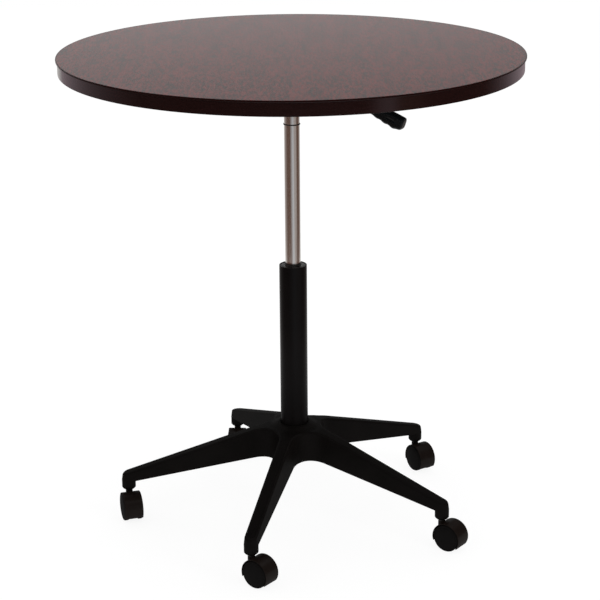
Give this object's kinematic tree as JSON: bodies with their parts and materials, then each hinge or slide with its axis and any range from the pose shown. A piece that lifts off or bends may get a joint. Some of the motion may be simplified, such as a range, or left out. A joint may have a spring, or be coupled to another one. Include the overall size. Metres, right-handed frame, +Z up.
{
  "type": "round height-adjustable table",
  "caption": "Round laminate table whose top turns and adjusts in height on a gas-lift column with a release lever, over a star base on swivel casters.",
  "frame": {"origin": "on the floor, on the column's axis, under the centre of the top", "axes": "+Z up, +Y away from the viewer of the picture, +X to the viewer's right"},
  "size_m": [0.8128, 0.8128, 0.865],
  "materials": {
    "mahogany_laminate": "dark mahogany melamine laminate, satin",
    "mahogany_edge_band": "dark moulded edge band, satin",
    "chipboard": "raw chipboard with a backing sheet",
    "black_nylon": "moulded black nylon, fine grain",
    "black_column_paint": "black baked enamel on steel tube",
    "black_plate_paint": "black powder coat on pressed steel",
    "chromed_steel": "polished chrome on steel tube",
    "zinc_plated_steel": "bright zinc plate",
    "grey_bushing_plastic": "moulded dark grey acetal",
    "black_rubber": "plain black rubber",
    "black_grip_plastic": "moulded black plastic, satin"
  },
  "bodies": {
    "base": {"star_base": "black_nylon", "column_tube": "black_column_paint", "guide_bushing": "grey_bushing_plastic", "lower_race": "zinc_plated_steel", "ball_cage": "grey_bushing_plastic", "caster_1_grip_ring": "zinc_plated_steel", "caster_2_grip_ring": "zinc_plated_steel", "caster_3_grip_ring": "zinc_plated_steel", "caster_4_grip_ring": "zinc_plated_steel", "caster_5_grip_ring": "zinc_plated_steel"},
    "rod": {"upper_race": "zinc_plated_steel", "rubber_buffer": "black_rubber", "piston_rod": "chromed_steel", "piston": "zinc_plated_steel", "rod_clip": "zinc_plated_steel"},
    "lift": {"pressure_tube": "chromed_steel", "tube_ring": "black_rubber", "rod_guide": "grey_bushing_plastic", "mounting_plate": "black_plate_paint", "tube_socket": "zinc_plated_steel", "plate_screw_1": "zinc_plated_steel", "plate_screw_2": "zinc_plated_steel", "plate_screw_3": "zinc_plated_steel", "plate_screw_4": "zinc_plated_steel", "lever_pivot_pin": "zinc_plated_steel", "tabletop_board": "chipboard", "laminate_face": "mahogany_laminate", "edge_band": "mahogany_edge_band"},
    "lever": {"lever_rod": "zinc_plated_steel", "lever_handle": "black_grip_plastic"},
    "button": {"release_button": "zinc_plated_steel"},
    "caster_1": {"caster_1_stem": "zinc_plated_steel", "caster_1_hood": "black_nylon", "caster_1_axle": "zinc_plated_steel"},
    "caster_1_left": {"caster_1_wheel_left": "black_nylon"},
    "caster_1_right": {"caster_1_wheel_right": "black_nylon"},
    "caster_2": {"caster_2_stem": "zinc_plated_steel", "caster_2_hood": "black_nylon", "caster_2_axle": "zinc_plated_steel"},
    "caster_2_left": {"caster_2_wheel_left": "black_nylon"},
    "caster_2_right": {"caster_2_wheel_right": "black_nylon"},
    "caster_3": {"caster_3_stem": "zinc_plated_steel", "caster_3_hood": "black_nylon", "caster_3_axle": "zinc_plated_steel"},
    "caster_3_left": {"caster_3_wheel_left": "black_nylon"},
    "caster_3_right": {"caster_3_wheel_right": "black_nylon"},
    "caster_4": {"caster_4_stem": "zinc_plated_steel", "caster_4_hood": "black_nylon", "caster_4_axle": "zinc_plated_steel"},
    "caster_4_left": {"caster_4_wheel_left": "black_nylon"},
    "caster_4_right": {"caster_4_wheel_right": "black_nylon"},
    "caster_5": {"caster_5_stem": "zinc_plated_steel", "caster_5_hood": "black_nylon", "caster_5_axle": "zinc_plated_steel"},
    "caster_5_left": {"caster_5_wheel_left": "black_nylon"},
    "caster_5_right": {"caster_5_wheel_right": "black_nylon"}
  },
  "joints": [
    {"name": "table_swivel", "type": "hinge", "parent": "base", "child": "rod", "pos_m": [0, 0, 0.13], "axis": [0, 0, 1], "continuous": true},
    {"name": "height_slide", "type": "slide", "parent": "rod", "child": "lift", "axis": [0, 0, 1], "range_m": [-0.254, 0]},
    {"name": "lever_tilt", "type": "hinge", "parent": "lift", "child": "lever", "pos_m": [0.03897, -0.0225, 0.8273], "axis": [-0.5, -0.866, 0], "range_deg": [0, 4]},
    {"name": "button_press", "type": "slide", "parent": "lift", "child": "button", "axis": [0, 0, -1], "range_m": [0, 0.003], "stiffness_N_per_m": 1500},
    {"name": "caster_1_swivel", "type": "hinge", "parent": "base", "child": "caster_1", "pos_m": [-0.30892, -0.01889, 0.06], "axis": [0, 0, 1], "continuous": true},
    {"name": "caster_1_left_spin", "type": "hinge", "parent": "caster_1", "child": "caster_1_left", "pos_m": [-0.30385, -0.03658, 0.025], "axis": [-0.9613, -0.2756, 0], "continuous": true},
    {"name": "caster_1_right_spin", "type": "hinge", "parent": "caster_1", "child": "caster_1_right", "pos_m": [-0.30385, -0.03658, 0.025], "axis": [-0.9613, -0.2756, 0], "continuous": true},
    {"name": "caster_2_swivel", "type": "hinge", "parent": "base", "child": "caster_2", "pos_m": [-0.07749, -0.29964, 0.06], "axis": [0, 0, 1], "continuous": true},
    {"name": "caster_2_left_spin", "type": "hinge", "parent": "caster_2", "child": "caster_2_left", "pos_m": [-0.06299, -0.31097, 0.025], "axis": [-0.6157, -0.788, 0], "continuous": true},
    {"name": "caster_2_right_spin", "type": "hinge", "parent": "caster_2", "child": "caster_2_right", "pos_m": [-0.06299, -0.31097, 0.025], "axis": [-0.6157, -0.788, 0], "continuous": true},
    {"name": "caster_3_swivel", "type": "hinge", "parent": "base", "child": "caster_3", "pos_m": [0.26103, -0.16629, 0.06], "axis": [0, 0, 1], "continuous": true},
    {"name": "caster_3_left_spin", "type": "hinge", "parent": "caster_3", "child": "caster_3_left", "pos_m": [0.27572, -0.17737, 0.025], "axis": [-0.6018, -0.7986, 0], "continuous": true},
    {"name": "caster_3_right_spin", "type": "hinge", "parent": "caster_3", "child": "caster_3_right", "pos_m": [0.27572, -0.17737, 0.025], "axis": [-0.6018, -0.7986, 0], "continuous": true},
    {"name": "caster_4_swivel", "type": "hinge", "parent": "base", "child": "caster_4", "pos_m": [0.23882, 0.19687, 0.06], "axis": [0, 0, 1], "continuous": true},
    {"name": "caster_4_left_spin", "type": "hinge", "parent": "caster_4", "child": "caster_4_left", "pos_m": [0.24829, 0.18109, 0.025], "axis": [-0.8572, -0.515, 0], "continuous": true},
    {"name": "caster_4_right_spin", "type": "hinge", "parent": "caster_4", "child": "caster_4_right", "pos_m": [0.24829, 0.18109, 0.025], "axis": [-0.8572, -0.515, 0], "continuous": true},
    {"name": "caster_5_swivel", "type": "hinge", "parent": "base", "child": "caster_5", "pos_m": [-0.11343, 0.28796, 0.06], "axis": [0, 0, 1], "continuous": true},
    {"name": "caster_5_left_spin", "type": "hinge", "parent": "caster_5", "child": "caster_5_left", "pos_m": [-0.11407, 0.26958, 0.025], "axis": [-0.9994, 0.0349, 0], "continuous": true},
    {"name": "caster_5_right_spin", "type": "hinge", "parent": "caster_5", "child": "caster_5_right", "pos_m": [-0.11407, 0.26958, 0.025], "axis": [-0.9994, 0.0349, 0], "continuous": true}
  ],
  "couplings": [
    {"joint": "button_press", "follows": "lever_tilt", "m_per_rad": 0.042}
  ]
}
